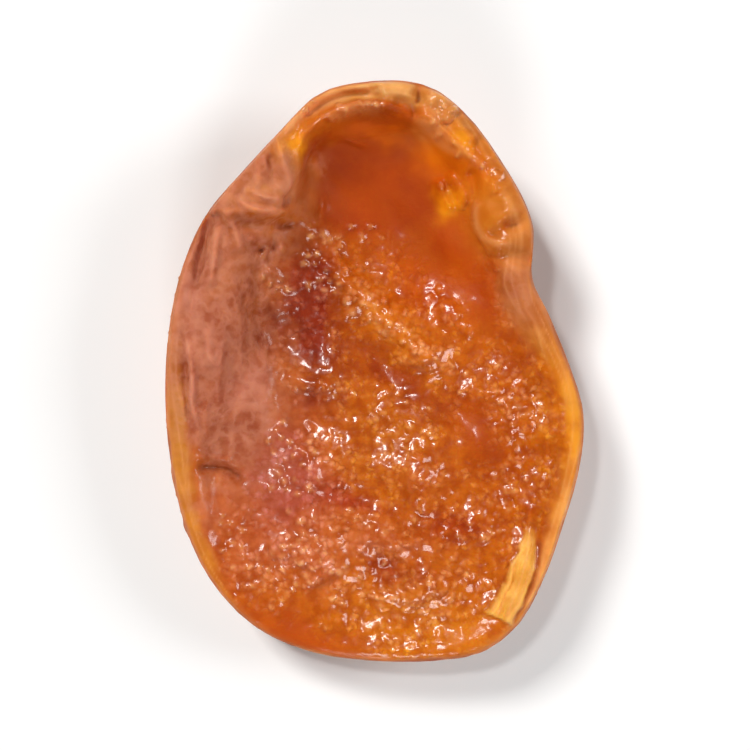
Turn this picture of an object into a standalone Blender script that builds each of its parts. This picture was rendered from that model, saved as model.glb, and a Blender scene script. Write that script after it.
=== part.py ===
"""One dried apricot half, lying on its skin with the cut face up.

The fruit was halved along its seam, stoned and dried, so the cut rim has shrunk and curled up
round a dished bed of flesh. It is one solid. +Z is up and the long axis runs along Y, with the
narrow, hooded end at +Y. The origin is the middle of the footprint, on the surface it rests on.
"""

import math

import bmesh
import bpy
import numpy as np

MM = 0.001

# Driving dimensions, in millimetres.
LENGTH = 40.0
WIDTH = 29.0
HEIGHT = 10.6
FOOT_LENGTH = 12.0
FOOT_WIDTH = 8.5

# How finely the solid is faceted.
ANGLES = 84
RINGS = 32

# The rim seen from above, anticlockwise from the right flank, as x, y in millimetres.
RIGHT_FLANK = ((14.4, -2.6), (13.4, 0.8), (12.0, 4.2), (10.7, 7.4))
EAR = ((10.9, 10.0), (10.2, 12.0), (8.7, 14.6))
HOOD = ((6.3, 17.8), (4.4, 19.4), (-0.6, 20.0), (-3.8, 19.2), (-6.1, 17.0))
LEFT_FLANK = (
    (-8.7, 14.3),
    (-11.5, 11.1),
    (-13.4, 6.8),
    (-14.3, 1.8),
    (-14.4, -3.0),
    (-13.9, -7.3),
)
LOWER_END = (
    (-12.9, -11.2),
    (-11.0, -14.8),
    (-7.9, -17.8),
    (-4.0, -19.4),
    (-0.2, -19.9),
    (3.9, -19.9),
    (7.4, -19.3),
    (9.9, -17.4),
    (11.6, -14.3),
    (13.0, -10.4),
    (14.1, -6.5),
)
OUTLINE = RIGHT_FLANK + EAR + HOOD + LEFT_FLANK + LOWER_END

# The rim round the half: degrees from +X, height of its crest, its width seen from above, and
# how far the crest stands over the flesh beside it. Lengths are in millimetres.
RIM_STATIONS = (
    (0, 7.8, 2.6, 1.1),  # right flank
    (18, 8.2, 2.3, 1.3),
    (34, 8.8, 2.4, 1.7),
    (45, 9.5, 3.7, 2.1),  # ear
    (64, 9.8, 3.6, 2.4),
    (88, 10.6, 2.7, 3.1),  # hood
    (112, 10.3, 3.4, 2.9),
    (132, 9.4, 4.6, 2.2),  # folded lobe
    (155, 8.6, 5.3, 1.7),  # broad left wall
    (180, 8.2, 5.2, 1.5),
    (205, 7.3, 3.6, 1.0),
    (230, 6.7, 2.0, 0.6),
    (265, 6.4, 1.7, 0.4),  # lower end
    (296, 6.9, 1.9, 0.6),
    (318, 7.5, 2.6, 1.0),
    (340, 7.7, 2.8, 1.1),
)

# The bed of flesh inside the rim: its level, then swells and hollows as x, y, reach along x,
# reach along y, and rise, in millimetres.
FLESH_LEVEL = 5.3
FLESH_SHAPES = (
    (1.6, 12.2, 5.5, 4.6, -1.3),  # hollow under the hood
    (0.6, -9.5, 9.0, 7.5, 1.1),  # pillow in the lower half
    (4.5, 2.6, 3.2, 6.0, 0.5),  # ridge right of the middle
    (-5.6, 1.5, 2.4, 6.5, -0.4),  # trough beside the left wall
)

# The flesh lies flat over this share of the way from the middle to the lip, then it climbs.
FLAT_SHARE = 0.25

# Dents and folds in the skin below the rim: waves round the half, their depth in millimetres
# and their phase in radians.
SKIN_FOLDS = ((3, 0.30, 0.6), (5, 0.26, 2.1), (9, 0.16, 4.0), (14, 0.09, 1.2))

FLESH_COLOUR = (0.72, 0.25, 0.03, 1.0)


def smooth_curve(knots, values, at, period=None):
    """Values of a smooth curve through the knots, with Catmull-Rom slopes, at the places asked.

    With a period the curve joins up with itself. The values may hold several columns.
    """
    knots = np.asarray(knots, float)
    values = np.asarray(values, float)
    if period:
        order = np.argsort(knots % period)
        knots = (knots % period)[order]
        values = values[order]
        knots = np.concatenate([knots[-2:] - period, knots, knots[:2] + period])
        values = np.concatenate([values[-2:], values, values[:2]])
        at = np.asarray(at, float) % period
    tail = (1,) * (values.ndim - 1)
    slopes = np.gradient(values, knots, axis=0)
    piece = np.clip(np.searchsorted(knots, at, side="right") - 1, 0, len(knots) - 2)
    span = (knots[piece + 1] - knots[piece]).reshape(-1, *tail)
    t = (at - knots[piece]).reshape(-1, *tail) / span
    near = (1 + 2 * t) * (1 - t) ** 2 * values[piece] + t * (1 - t) ** 2 * span * slopes[piece]
    far = t**2 * (3 - 2 * t) * values[piece + 1] - t**2 * (1 - t) * span * slopes[piece + 1]
    return near + far


def rim_radius(angles):
    """Distance from the middle to the outermost edge at each angle."""
    points = np.array(OUTLINE)
    around = np.arctan2(points[:, 1], points[:, 0])
    return smooth_curve(around, np.hypot(*points.T), angles, 2 * math.pi)


def rim_sizes(angles):
    """Crest height, rim width and lip rise at each angle."""
    stations = np.array(RIM_STATIONS, float)
    sizes = smooth_curve(np.radians(stations[:, 0]), stations[:, 1:], angles, 2 * math.pi)
    return sizes.T


def flesh_height(x, y):
    """Height of the bed of flesh, before it climbs to the lip."""
    height = np.full_like(x, FLESH_LEVEL)
    for middle_x, middle_y, reach_x, reach_y, rise in FLESH_SHAPES:
        away = ((x - middle_x) / reach_x) ** 2 + ((y - middle_y) / reach_y) ** 2
        height += rise * np.exp(-away)
    return height


def cut_face(angles, share):
    """A ring of the cut face, at this share of the way from the middle to the lip."""
    crest, width, lip = rim_sizes(angles)
    distance = share * (rim_radius(angles) - width)
    bed = flesh_height(distance * np.cos(angles), distance * np.sin(angles))
    climb = max(0.0, (share - FLAT_SHARE) / (1 - FLAT_SHARE)) ** 2
    return distance, bed + climb * (crest - lip - bed)


def foot_radius(angles):
    """Distance from the middle to the edge of the flat spot."""
    across, along = FOOT_WIDTH / 2, FOOT_LENGTH / 2
    return across * along / np.hypot(along * np.cos(angles), across * np.sin(angles))


def skin_side(angles, share, height_share):
    """A ring of the skin, at this share of the way from the foot to the rim, and of its height."""
    crest = rim_sizes(angles)[0]
    foot = foot_radius(angles)
    distance = foot + share * (rim_radius(angles) - foot)
    folds = sum(depth * np.sin(waves * angles + phase) for waves, depth, phase in SKIN_FOLDS)
    return distance + folds * 4 * share * (1 - share), height_share * crest


def section(angles):
    """The half's outline in cross-section at each angle, from the middle of the cut face, over
    the rim and down the skin to the foot, as rings of (distance, height)."""
    radius = rim_radius(angles)
    crest, width, lip = rim_sizes(angles)
    face = [cut_face(angles, share) for share in (0.08, 0.32, 0.54, 0.74, 0.9, 0.98)]
    rim = [
        (radius - 0.88 * width, crest - 0.50 * lip),
        (radius - 0.62 * width, crest - 0.10 * lip),
        (radius - 0.34 * width, crest),
        (radius - 0.08 * width, crest - 0.4),
        (radius, crest - 1.3),
    ]
    skin = [
        skin_side(angles, share, height_share)
        for share, height_share in ((0.97, 0.69), (0.87, 0.43), (0.68, 0.20), (0.42, 0.065), (0.17, 0.012))
    ]
    foot = [(foot_radius(angles), np.zeros_like(angles))]
    return np.array([np.stack(ring, axis=-1) for ring in face + rim + skin + foot])


def ring_points(angles):
    """The solid's rings as points in millimetres, spaced evenly along the average section."""
    control = section(angles)
    steps = np.hypot(*np.moveaxis(np.diff(control, axis=0), -1, 0)).mean(axis=1)
    knots = np.concatenate([[0.0], np.cumsum(steps)])
    at = np.linspace(0.0, knots[-1], RINGS)
    flat = smooth_curve(knots, control.reshape(len(knots), -1), at)
    distance, height = np.moveaxis(flat.reshape(RINGS, len(angles), 2), -1, 0)
    height[-1] = 0.0
    return np.stack([distance * np.cos(angles), distance * np.sin(angles), height], axis=-1)


def fit_to_size(points):
    """Centres the rings over the origin and brings them to the driving dimensions."""
    low, high = points.reshape(-1, 3).min(axis=0), points.reshape(-1, 3).max(axis=0)
    middle = np.array([(low[0] + high[0]) / 2, (low[1] + high[1]) / 2, 0.0])
    return (points - middle) * np.array([WIDTH, LENGTH, HEIGHT]) / (high - low)


def dried_half_mesh():
    """The closed mesh: bands from ring to ring, closed by the middle of the flesh and the foot."""
    angles = np.arange(ANGLES) * 2 * math.pi / ANGLES
    points = fit_to_size(ring_points(angles)) * MM
    shape = bmesh.new()
    rings = [[shape.verts.new(corner) for corner in ring] for ring in points]
    for inner, outer in zip(rings, rings[1:]):
        for i in range(ANGLES):
            shape.faces.new((inner[i - 1], outer[i - 1], outer[i], inner[i]))
    middle = shape.faces.new(rings[0])
    bmesh.ops.poke(shape, faces=[middle])
    shape.faces.new(rings[-1][::-1])
    bmesh.ops.recalc_face_normals(shape, faces=shape.faces)
    mesh = bpy.data.meshes.new("dried_apricot_half")
    shape.to_mesh(mesh)
    shape.free()
    mesh.shade_smooth()
    return mesh


def flesh_material():
    """Moist, leathery dried flesh."""
    material = bpy.data.materials.new("dried_flesh")
    material.use_nodes = True
    shader = material.node_tree.nodes["Principled BSDF"]
    shader.inputs["Base Color"].default_value = FLESH_COLOUR
    shader.inputs["Roughness"].default_value = 0.38
    shader.inputs["Metallic"].default_value = 0.0
    material.diffuse_color = FLESH_COLOUR
    return material


def main():
    """Clears the scene and leaves the apricot half in it."""
    for old in list(bpy.data.objects):
        bpy.data.objects.remove(old)
    mesh = dried_half_mesh()
    mesh.materials.append(flesh_material())
    half = bpy.data.objects.new("dried_apricot_half", mesh)
    bpy.context.scene.collection.objects.link(half)


main()
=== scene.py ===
"""The looks of a dried apricot half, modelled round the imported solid.

The plain solid gives the size, the outline and the foot. A fine copy of it is sculpted here with the
curled rim, the hood and its hollow, the ear, the folded left wall, the wet pebbled flesh and the
wrinkled skin, and is dressed with one procedural material whose regions are held by the mesh.

The half lies on its skin with the cut face up, +Y towards its hooded end. Sculpting is done in
millimetres, and the mesh is brought back to metres at the end.
"""

import logging
import math
from collections.abc import Sequence
from dataclasses import dataclass, field
from enum import Enum

import bmesh
import bpy
import numpy as np
from mathutils import Matrix, Vector, noise

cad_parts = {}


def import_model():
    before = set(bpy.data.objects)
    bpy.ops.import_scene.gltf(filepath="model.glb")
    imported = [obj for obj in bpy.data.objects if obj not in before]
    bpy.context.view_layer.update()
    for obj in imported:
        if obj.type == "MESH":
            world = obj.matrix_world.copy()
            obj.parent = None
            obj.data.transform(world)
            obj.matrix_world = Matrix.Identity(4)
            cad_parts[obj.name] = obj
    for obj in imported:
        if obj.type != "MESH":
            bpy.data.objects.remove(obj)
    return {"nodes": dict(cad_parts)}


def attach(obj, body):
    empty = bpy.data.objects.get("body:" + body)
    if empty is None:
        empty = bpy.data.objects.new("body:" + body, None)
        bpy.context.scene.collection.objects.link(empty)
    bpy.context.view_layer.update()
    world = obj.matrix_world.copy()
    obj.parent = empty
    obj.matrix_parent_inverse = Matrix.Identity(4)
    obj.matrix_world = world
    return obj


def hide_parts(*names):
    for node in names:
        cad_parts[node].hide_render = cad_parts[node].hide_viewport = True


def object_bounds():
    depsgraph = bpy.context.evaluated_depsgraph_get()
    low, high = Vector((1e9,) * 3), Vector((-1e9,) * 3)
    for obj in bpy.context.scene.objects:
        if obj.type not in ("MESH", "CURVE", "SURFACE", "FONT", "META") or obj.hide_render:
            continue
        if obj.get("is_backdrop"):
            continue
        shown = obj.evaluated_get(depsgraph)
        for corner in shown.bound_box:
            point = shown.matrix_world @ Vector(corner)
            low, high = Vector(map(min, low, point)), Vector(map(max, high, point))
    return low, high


LOG = logging.getLogger("dried_apricot")

MM = 0.001
NODE = "dried_apricot_half"
BODY = "root"

Line = tuple[tuple[float, float], ...]
Colour = tuple[float, float, float]
Socket = bpy.types.NodeSocket
Source = Socket | float | Colour


class Mark(Enum):
    """What is marked on the half. Each value is the name of the mesh attribute that holds it."""

    CALM = "calm"
    MATTE = "matte"
    RIM = "rim"
    SKIN = "skin"
    SLIVER = "sliver"
    WET = "wet"
    # The bead tops that take the pink painted highlight.
    BEAD_TOP_HIGHLIGHT = "grain"
    # How strong the pink painted highlight on the bead tops is.
    BLUSH_PAINTED_HIGHLIGHT = "blush_painted_highlight"
    # Where the moist beads' tops are painted cream: painted highlight.
    CREAM_PAINTED_HIGHLIGHT = "cream_painted_highlight"
    # Pale threads, edges and lines; some of the lines are painted highlights along ridges.
    PALE_AND_HIGHLIGHT = "pale"
    # Painted shade in the creases, grooves, gaps and pits.
    PAINTED_SHADE = "deep"
    TONE = "tone"


def placed(name: str, data: bpy.types.ID) -> bpy.types.Object:
    """Adds an object that shows a mesh, a light or a camera to the scene.

    Args:
        name: The object's name.
        data: What it shows.

    Returns:
        The object.
    """
    made = bpy.data.objects.new(name, data)
    bpy.context.scene.collection.objects.link(made)
    return made


# Helpers for arrays of places. A place is x, y, z in millimetres.


def smoothstep(low: float, high: float, value: np.ndarray) -> np.ndarray:
    """Rises smoothly from 0 to 1.

    Args:
        low: Where the rise starts.
        high: Where the rise ends. It may lie below low, for a fall.
        value: The values to map.

    Returns:
        Numbers from 0 to 1, one for each value.
    """
    t = np.clip((value - low) / (high - low), 0.0, 1.0)
    return t * t * (3 - 2 * t)


def ripple(places: np.ndarray, waves: Sequence[float] | float, seed: float) -> np.ndarray:
    """Smooth noise at each place.

    Args:
        places: The places.
        waves: How many bumps there are to a millimetre, for all axes or for each of the three.
        seed: Moves the pattern, so that two ripples differ.

    Returns:
        Numbers from about -1 to 1, one for each place.
    """
    shifted = (places * np.asarray(waves, float) + (seed, 1.7 * seed, 2.3 * seed)).tolist()
    return np.fromiter((noise.noise(place) for place in shifted), float, len(shifted))


def cloud(places: np.ndarray, waves: float, seed: float, octaves: int = 3) -> np.ndarray:
    """Noise of several sizes, each half as strong and twice as fine as the one before.

    Args:
        places: The places.
        waves: How many bumps of the largest size there are to a millimetre.
        seed: Moves the pattern.
        octaves: How many sizes there are.

    Returns:
        Numbers from about -2 to 2, one for each place.
    """
    piled = np.zeros(len(places))
    for octave in range(octaves):
        piled += ripple(places, waves * 2**octave, seed + 3.1 * octave) / 2**octave
    return piled


def ridges(places: np.ndarray, waves: Sequence[float] | float, seed: float) -> np.ndarray:
    """Thin wandering ridges: 1 on the ridge lines and falling towards 0 between them."""
    return 1 - np.clip(2.2 * np.abs(ripple(places, waves, seed)), 0.0, 1.0)


def bead_heights(places: np.ndarray, size: float, seed: float) -> np.ndarray:
    """Small rounded beads side by side.

    Args:
        places: The places.
        size: The spacing of the beads in millimetres.
        seed: Moves the pattern.

    Returns:
        The height of the beads, from 0 between them to 1 on top.
    """
    shifted = (places / size + (seed, 2.1 * seed, 0.7 * seed)).tolist()
    nearest = np.fromiter((noise.voronoi(place)[0][0] for place in shifted), float, len(shifted))
    return (1 - np.clip(nearest / 0.8, 0.0, 1.0) ** 2) ** 1.5


@dataclass(frozen=True)
class Patch:
    """A soft oval on the plan of the half, for a swell, a dent or a patch of colour."""

    x: float
    y: float
    reach_x: float
    reach_y: float
    strength: float
    turn: float = 0.0

    def at(self, plan: np.ndarray) -> np.ndarray:
        """Works out the patch's strength.

        Args:
            plan: The x, y places.

        Returns:
            The strength at each of them.
        """
        away = plan - (self.x, self.y)
        cos, sin = math.cos(math.radians(self.turn)), math.sin(math.radians(self.turn))
        along = (away[:, 0] * cos + away[:, 1] * sin) / self.reach_x
        across = (away[:, 1] * cos - away[:, 0] * sin) / self.reach_y
        return self.strength * np.exp(-(along**2 + across**2))


@dataclass(frozen=True)
class Fold:
    """A ridge or a groove that follows a curved line over the plan of the half, fading at its ends."""

    line: Line
    width: float
    rise: float
    wander: float = 0.0
    fade: float = 0.18

    def at(self, plan: np.ndarray) -> np.ndarray:
        """Works out the fold's rise. Places far from the line are passed over, to save time.

        Args:
            plan: The x, y places.

        Returns:
            The rise at each of them.
        """
        corners = rounded(self.line)
        reach = 3 * self.width + self.wander
        inside = (plan > corners.min(axis=0) - reach) & (plan < corners.max(axis=0) + reach)
        near = np.flatnonzero(inside.all(axis=1))
        away, _, along = from_line(plan[near], corners)
        if self.wander:
            away = np.abs(away + self.wander * ripple(flat(plan[near]), 0.6, self.width * 17))
        ends = smoothstep(-0.02, self.fade, along) * smoothstep(1.02, 1 - self.fade, along)
        rise = np.zeros(len(plan))
        rise[near] = self.rise * np.exp(-((away / self.width) ** 2)) * ends
        return rise


def rounded(line: Line) -> np.ndarray:
    """Cuts the corners of a line twice, which turns it into a smooth curve.

    Args:
        line: The line's corners.

    Returns:
        The corners of the curve.
    """
    corners = np.asarray(line, float)
    for _ in range(2):
        start, end = corners[:-1], corners[1:]
        cuts = np.stack([0.75 * start + 0.25 * end, 0.25 * start + 0.75 * end], axis=1).reshape(-1, 2)
        corners = np.vstack([corners[:1], cuts[1:-1], corners[-1:]])
    return corners


def from_line(plan: np.ndarray, corners: np.ndarray) -> tuple[np.ndarray, np.ndarray, np.ndarray]:
    """How far each x, y lies from a line.

    Args:
        plan: The x, y places.
        corners: The line's corners.

    Returns:
        The distances; which side each place is on, 1 on the left of the line and -1 on its right;
        and how far along the line its nearest point lies, from 0 to 1.
    """
    best = np.full(len(plan), np.inf)
    side = np.ones(len(plan))
    along = np.zeros(len(plan))
    steps = np.hypot(*np.diff(corners, axis=0).T)
    walked = np.concatenate([[0.0], np.cumsum(steps)]) / steps.sum()
    for i, (start, end) in enumerate(zip(corners, corners[1:])):
        run = end - start
        share = np.clip((plan - start) @ run / (run @ run), 0.0, 1.0)
        gap = plan - (start + share[:, None] * run)
        away = np.hypot(*gap.T)
        closer = away < best
        best = np.where(closer, away, best)
        turn = run[0] * gap[:, 1] - run[1] * gap[:, 0]
        side = np.where(closer, np.where(turn >= 0, 1.0, -1.0), side)
        along = np.where(closer, walked[i] + share * (walked[i + 1] - walked[i]), along)
    return best, side, along


def flat(plan: np.ndarray) -> np.ndarray:
    """Each x, y as a place at height 0."""
    return np.column_stack([plan, np.zeros(len(plan))])


def total(shapes: Sequence[Patch | Fold], plan: np.ndarray) -> np.ndarray:
    """The sum of some patches or folds at each x, y."""
    return sum((shape.at(plan) for shape in shapes), np.zeros(len(plan)))


# The blank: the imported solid, made fine and smooth enough to sculpt.


@dataclass
class Blank:
    """A fine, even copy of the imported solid, in millimetres."""

    node: bpy.types.Object
    grid: float = 0.28
    smoothing: int = 36
    fine_above: float = 3.0
    fine_lean: float = -0.12

    def mesh(self) -> bpy.types.Mesh:
        """Makes the blank.

        Returns:
            A closed mesh of small quads, finer on the cut face than underneath.
        """
        mesh = self.node.data.copy()
        mesh.materials.clear()
        mesh.transform(self.node.matrix_world)
        mesh.transform(Matrix.Scale(1 / MM, 4))
        mesh = self._remeshed(mesh)
        self._refine_top(mesh)
        return self._smoothed(mesh, self.smoothing)

    def _applied(self, mesh: bpy.types.Mesh, kind: str, **settings: object) -> bpy.types.Mesh:
        """Applies one modifier.

        Args:
            mesh: The mesh to change. It is left as it is.
            kind: The modifier's type.
            **settings: The modifier's options.

        Returns:
            The changed mesh.
        """
        holder = placed("blank", mesh)
        modifier = holder.modifiers.new(kind.lower(), kind)
        for name, value in settings.items():
            setattr(modifier, name, value)
        graph = bpy.context.evaluated_depsgraph_get()
        made = bpy.data.meshes.new_from_object(holder.evaluated_get(graph))
        bpy.data.objects.remove(holder)
        return made

    def _remeshed(self, mesh: bpy.types.Mesh) -> bpy.types.Mesh:
        """Even quads all over, in place of the solid's long facets."""
        return self._applied(mesh, "REMESH", mode="VOXEL", voxel_size=self.grid)

    def _smoothed(self, mesh: bpy.types.Mesh, times: int) -> bpy.types.Mesh:
        """Takes the solid's facets away."""
        return self._applied(mesh, "SMOOTH", factor=0.5, iterations=times)

    def _refine_top(self, mesh: bpy.types.Mesh) -> None:
        """Halves the grid on the cut face and over the rim.

        Args:
            mesh: The mesh, which is changed in place.
        """
        shape = bmesh.new()
        shape.from_mesh(mesh)
        shape.normal_update()
        upper = [
            face
            for face in shape.faces
            if face.normal.z > self.fine_lean and face.calc_center_median().z > self.fine_above
        ]
        edges = list({edge for face in upper for edge in face.edges})
        bmesh.ops.subdivide_edges(shape, edges=edges, cuts=1, use_grid_fill=True)
        bmesh.ops.triangulate(shape, faces=[face for face in shape.faces if len(face.verts) > 4])
        shape.to_mesh(mesh)
        shape.free()


# The sculpted half.


def srgb(red: int, green: int, blue: int) -> Colour:
    """A display colour, each part from 0 to 255, as the linear colour that a shader takes."""
    share = np.array((red, green, blue)) / 255
    return tuple(np.where(share <= 0.04045, share / 12.92, ((share + 0.055) / 1.055) ** 2.4).tolist())


@dataclass(frozen=True)
class RimStation:
    """The rim at one angle: how wide its dry band is, its colour, and how its edge looks."""

    degrees: float
    band: float
    colour: Colour
    pale: float
    edge: float
    groove: float


RIM = (
    RimStation(0, 1.5, srgb(228, 140, 26), 0.5, 0.4, 0.0),
    RimStation(8, 1.9, srgb(206, 122, 38), 0.8, 0.8, 0.0),
    RimStation(20, 2.3, srgb(194, 110, 52), 0.8, 1.0, 0.0),
    RimStation(34, 2.4, srgb(190, 106, 54), 0.6, 0.7, 0.0),
    RimStation(45, 2.2, srgb(214, 128, 52), 0.6, 0.6, 0.3),
    RimStation(58, 0.9, srgb(196, 112, 36), 0.9, 0.9, 0.5),
    RimStation(69, 1.0, srgb(196, 114, 34), 0.8, 0.8, 0.3),
    RimStation(80, 1.3, srgb(222, 148, 72), 0.8, 0.9, 0.5),
    RimStation(92, 1.3, srgb(234, 172, 98), 0.9, 1.0, 1.0),
    RimStation(102, 0.9, srgb(228, 158, 96), 0.9, 1.0, 1.0),
    RimStation(110, 0.7, srgb(222, 146, 90), 0.8, 0.9, 0.6),
    RimStation(122, 0.5, srgb(190, 112, 64), 0.4, 0.5, 0.3),
    RimStation(150, 0.5, srgb(188, 110, 76), 0.4, 0.6, 0.6),
    RimStation(166, 0.7, srgb(196, 118, 78), 0.3, 0.8, 0.4),
    RimStation(180, 1.3, srgb(186, 108, 42), 0.4, 0.8, 0.2),
    RimStation(193, 1.6, srgb(190, 116, 44), 0.7, 0.8, 0.2),
    RimStation(206, 1.5, srgb(200, 122, 28), 0.5, 0.5, 0.2),
    RimStation(228, 1.2, srgb(214, 130, 40), 0.5, 0.5, 0.3),
    RimStation(240, 0.4, srgb(198, 100, 20), 0.2, 0.2, 0.0),
    RimStation(258, 0.1, srgb(192, 90, 6), 0.0, 0.0, 0.0),
    RimStation(285, 0.1, srgb(196, 104, 12), 0.0, 0.0, 0.0),
    RimStation(298, 0.7, srgb(212, 128, 44), 0.6, 0.5, 0.0),
    RimStation(312, 1.1, srgb(228, 146, 66), 0.9, 0.6, 0.0),
    RimStation(328, 1.1, srgb(222, 138, 40), 0.8, 0.6, 0.0),
    RimStation(342, 1.2, srgb(230, 144, 24), 0.7, 0.4, 0.0),
    RimStation(354, 1.5, srgb(222, 138, 8), 0.5, 0.4, 0.0),
)

# Lines that both a fold and its colour follow.
HOOD_RIDGE = ((-4.8, 15.9), (-3.4, 17.4), (-1.5, 18.1), (0.7, 18.2), (2.2, 17.8))
WALL_CREASE = ((-12.3, -6.4), (-11.0, -6.4), (-10.0, -6.7), (-9.0, -7.5))
WALL_HEM = ((-13.1, 3.2), (-12.7, 2.2), (-12.4, 0.0), (-12.5, -2.0), (-12.0, -3.8))
WALL_LOOP = ((-11.3, 3.4), (-11.5, 1.4), (-10.6, 0.4), (-10.4, 2.2))

# The colours of the cut face, laid over each other in this order on a ground of orange flesh.
GROUND = srgb(204, 107, 10)
TONES = (
    (Patch(9.8, -4.0, 3.6, 7.0, 1.2, 12), srgb(194, 94, 0)),
    (Patch(-9.6, -11.6, 3.6, 4.0, 1.2), srgb(198, 98, 40)),
    (Patch(0.4, -4.6, 3.0, 3.4, 1.0), srgb(196, 104, 12)),
    (Patch(2.4, -17.2, 4.4, 2.2, 1.3), srgb(212, 120, 8)),
    (Patch(12.6, -3.6, 1.5, 3.6, 1.3, 4), srgb(214, 120, 10)),
    (Patch(12.4, -8.6, 1.0, 3.0, 0.8, -8), srgb(206, 112, 16)),
    (Patch(-6.2, -18.2, 4.8, 1.7, 1.4, -14), srgb(190, 82, 0)),
    (Patch(3.6, 6.6, 3.4, 2.6, 1.2, -50), srgb(200, 90, 0)),
    (Patch(6.9, 7.4, 1.5, 4.6, 1.4, 25), srgb(190, 78, 0)),
    # The paler band along the chain of small ridges is partly the flesh's colour and partly painted highlight
    # where the glints crowd.
    (Patch(2.0, 2.9, 5.4, 1.2, 1.2, -38), srgb(220, 128, 34)),
    (Patch(1.6, -0.3, 3.8, 1.0, 1.2, -38), srgb(166, 66, 0)),
    (Patch(6.7, -3.4, 1.5, 3.6, 1.2, 20), srgb(180, 76, 0)),
    (Patch(3.6, -7.2, 1.8, 1.3, 0.7), srgb(200, 104, 44)),
    (Patch(-2.2, -8.6, 2.6, 0.9, 1.1, -20), srgb(180, 66, 8)),
    (Patch(1.4, -13.6, 2.2, 0.8, 1.0, -8), srgb(178, 72, 4)),
    (Patch(5.4, -10.4, 2.6, 1.0, 1.0, -15), srgb(176, 66, 2)),
    # These pink patches lie where the glints crowd: partly the flesh's own pink, partly painted highlight.
    (Patch(-0.6, -11.4, 2.4, 1.0, 0.8), srgb(212, 118, 74)),
    (Patch(2.8, -12.0, 1.8, 0.8, 0.6), srgb(212, 118, 72)),
    (Patch(-7.0, -12.4, 1.8, 1.0, 0.8), srgb(212, 120, 82)),
    (Patch(-3.6, -13.4, 1.5, 1.5, 0.8), srgb(216, 122, 80)),
    (Patch(2.4, -15.6, 2.4, 0.8, 0.7), srgb(210, 122, 48)),
    (Patch(-4.4, 4.6, 2.0, 5.0, 1.5, 8), srgb(142, 42, 10)),
    (Patch(-4.6, -1.8, 1.9, 1.0, 0.9), srgb(146, 52, 22)),
    (Patch(-6.2, -7.0, 2.7, 3.8, 1.5, 18), srgb(188, 92, 76)),
    (Patch(-10.4, 1.0, 3.0, 6.6, 2.6, 6), srgb(168, 88, 54)),
    (Patch(-8.9, -0.8, 1.3, 1.6, 0.8), srgb(186, 108, 80)),
    (Patch(-10.6, 1.8, 1.2, 1.6, 0.6), srgb(188, 112, 82)),
    (Patch(-7.9, 4.0, 1.1, 2.2, 1.2, 10), srgb(150, 64, 20)),
    (Patch(-6.6, 3.6, 0.9, 1.9, 1.0, 10), srgb(134, 46, 12)),
    (Patch(-9.8, 8.8, 2.8, 3.2, 2.0, -10), srgb(172, 92, 52)),
    (Patch(-12.2, 6.0, 0.9, 2.6, 0.8, -8), srgb(188, 114, 86)),
    (Patch(-11.0, -9.2, 1.6, 1.6, 0.7), srgb(196, 100, 54)),
    # The hollow under the hood: its deep red is partly the flesh's own colour and partly painted shade.
    (Patch(0.0, 13.6, 4.9, 4.0, 2.4), srgb(166, 62, 0)),
    # Painted light: a lighter band at the top of the hollow, where the hood's shade falls.
    (Patch(0.2, 15.4, 3.2, 1.5, 1.0), srgb(176, 66, 0)),
    (Patch(4.0, 16.6, 1.5, 0.6, 1.3, -45), srgb(228, 132, 30)),
    (Patch(3.4, 15.4, 1.0, 2.0, 0.9, 40), srgb(188, 80, 0)),
    # Painted light: brighter orange on the steep wall under the hood, in its shade.
    (Patch(0.8, 16.7, 3.0, 0.8, 1.4, -8), srgb(206, 92, 0)),
    (Patch(5.4, 9.9, 1.5, 2.4, 1.2, 30), srgb(178, 66, 0)),
    (Patch(-4.4, 12.6, 0.6, 2.8, 1.2, -6), srgb(178, 82, 14)),
    (Patch(-7.8, 13.4, 2.3, 2.4, 2.6, 50), srgb(192, 112, 62)),
    (Patch(-7.4, 10.9, 1.9, 0.5, 1.3, 6), srgb(202, 110, 30)),
    (Patch(-5.4, 15.8, 0.7, 1.0, 1.5), srgb(238, 150, 18)),
    (Patch(7.2, 13.4, 1.2, 2.6, 1.5, 35), srgb(214, 116, 18)),
    (Patch(5.4, 12.4, 0.7, 1.5, 1.5, -20), srgb(238, 144, 10)),
    (Patch(5.2, 15.0, 1.5, 2.2, 1.5, 40), srgb(208, 100, 0)),
    (Patch(6.9, 13.9, 0.8, 1.4, 1.0, 30), srgb(200, 92, 0)),
    (Patch(4.7, 17.9, 1.2, 1.2, 1.6), srgb(220, 142, 82)),
    (Patch(5.9, 16.3, 0.7, 1.1, 1.1, 40), srgb(230, 144, 22)),
    (Patch(-4.6, 17.3, 1.1, 0.8, 1.0, 40), srgb(206, 112, 26)),
    (Patch(-1.8, 18.9, 2.0, 0.5, 1.0, 12), srgb(204, 106, 14)),
    (Patch(8.9, 10.6, 2.0, 1.8, 1.6), srgb(208, 122, 34)),
    # Darker in the ear's dimple: partly the flesh's own colour, partly painted shade.
    (Patch(9.2, 10.4, 0.7, 0.45, 1.1, 10), srgb(196, 92, 0)),
    (Patch(9.3, 5.2, 0.8, 2.6, 1.0, 14), srgb(200, 112, 50)),
)

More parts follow.
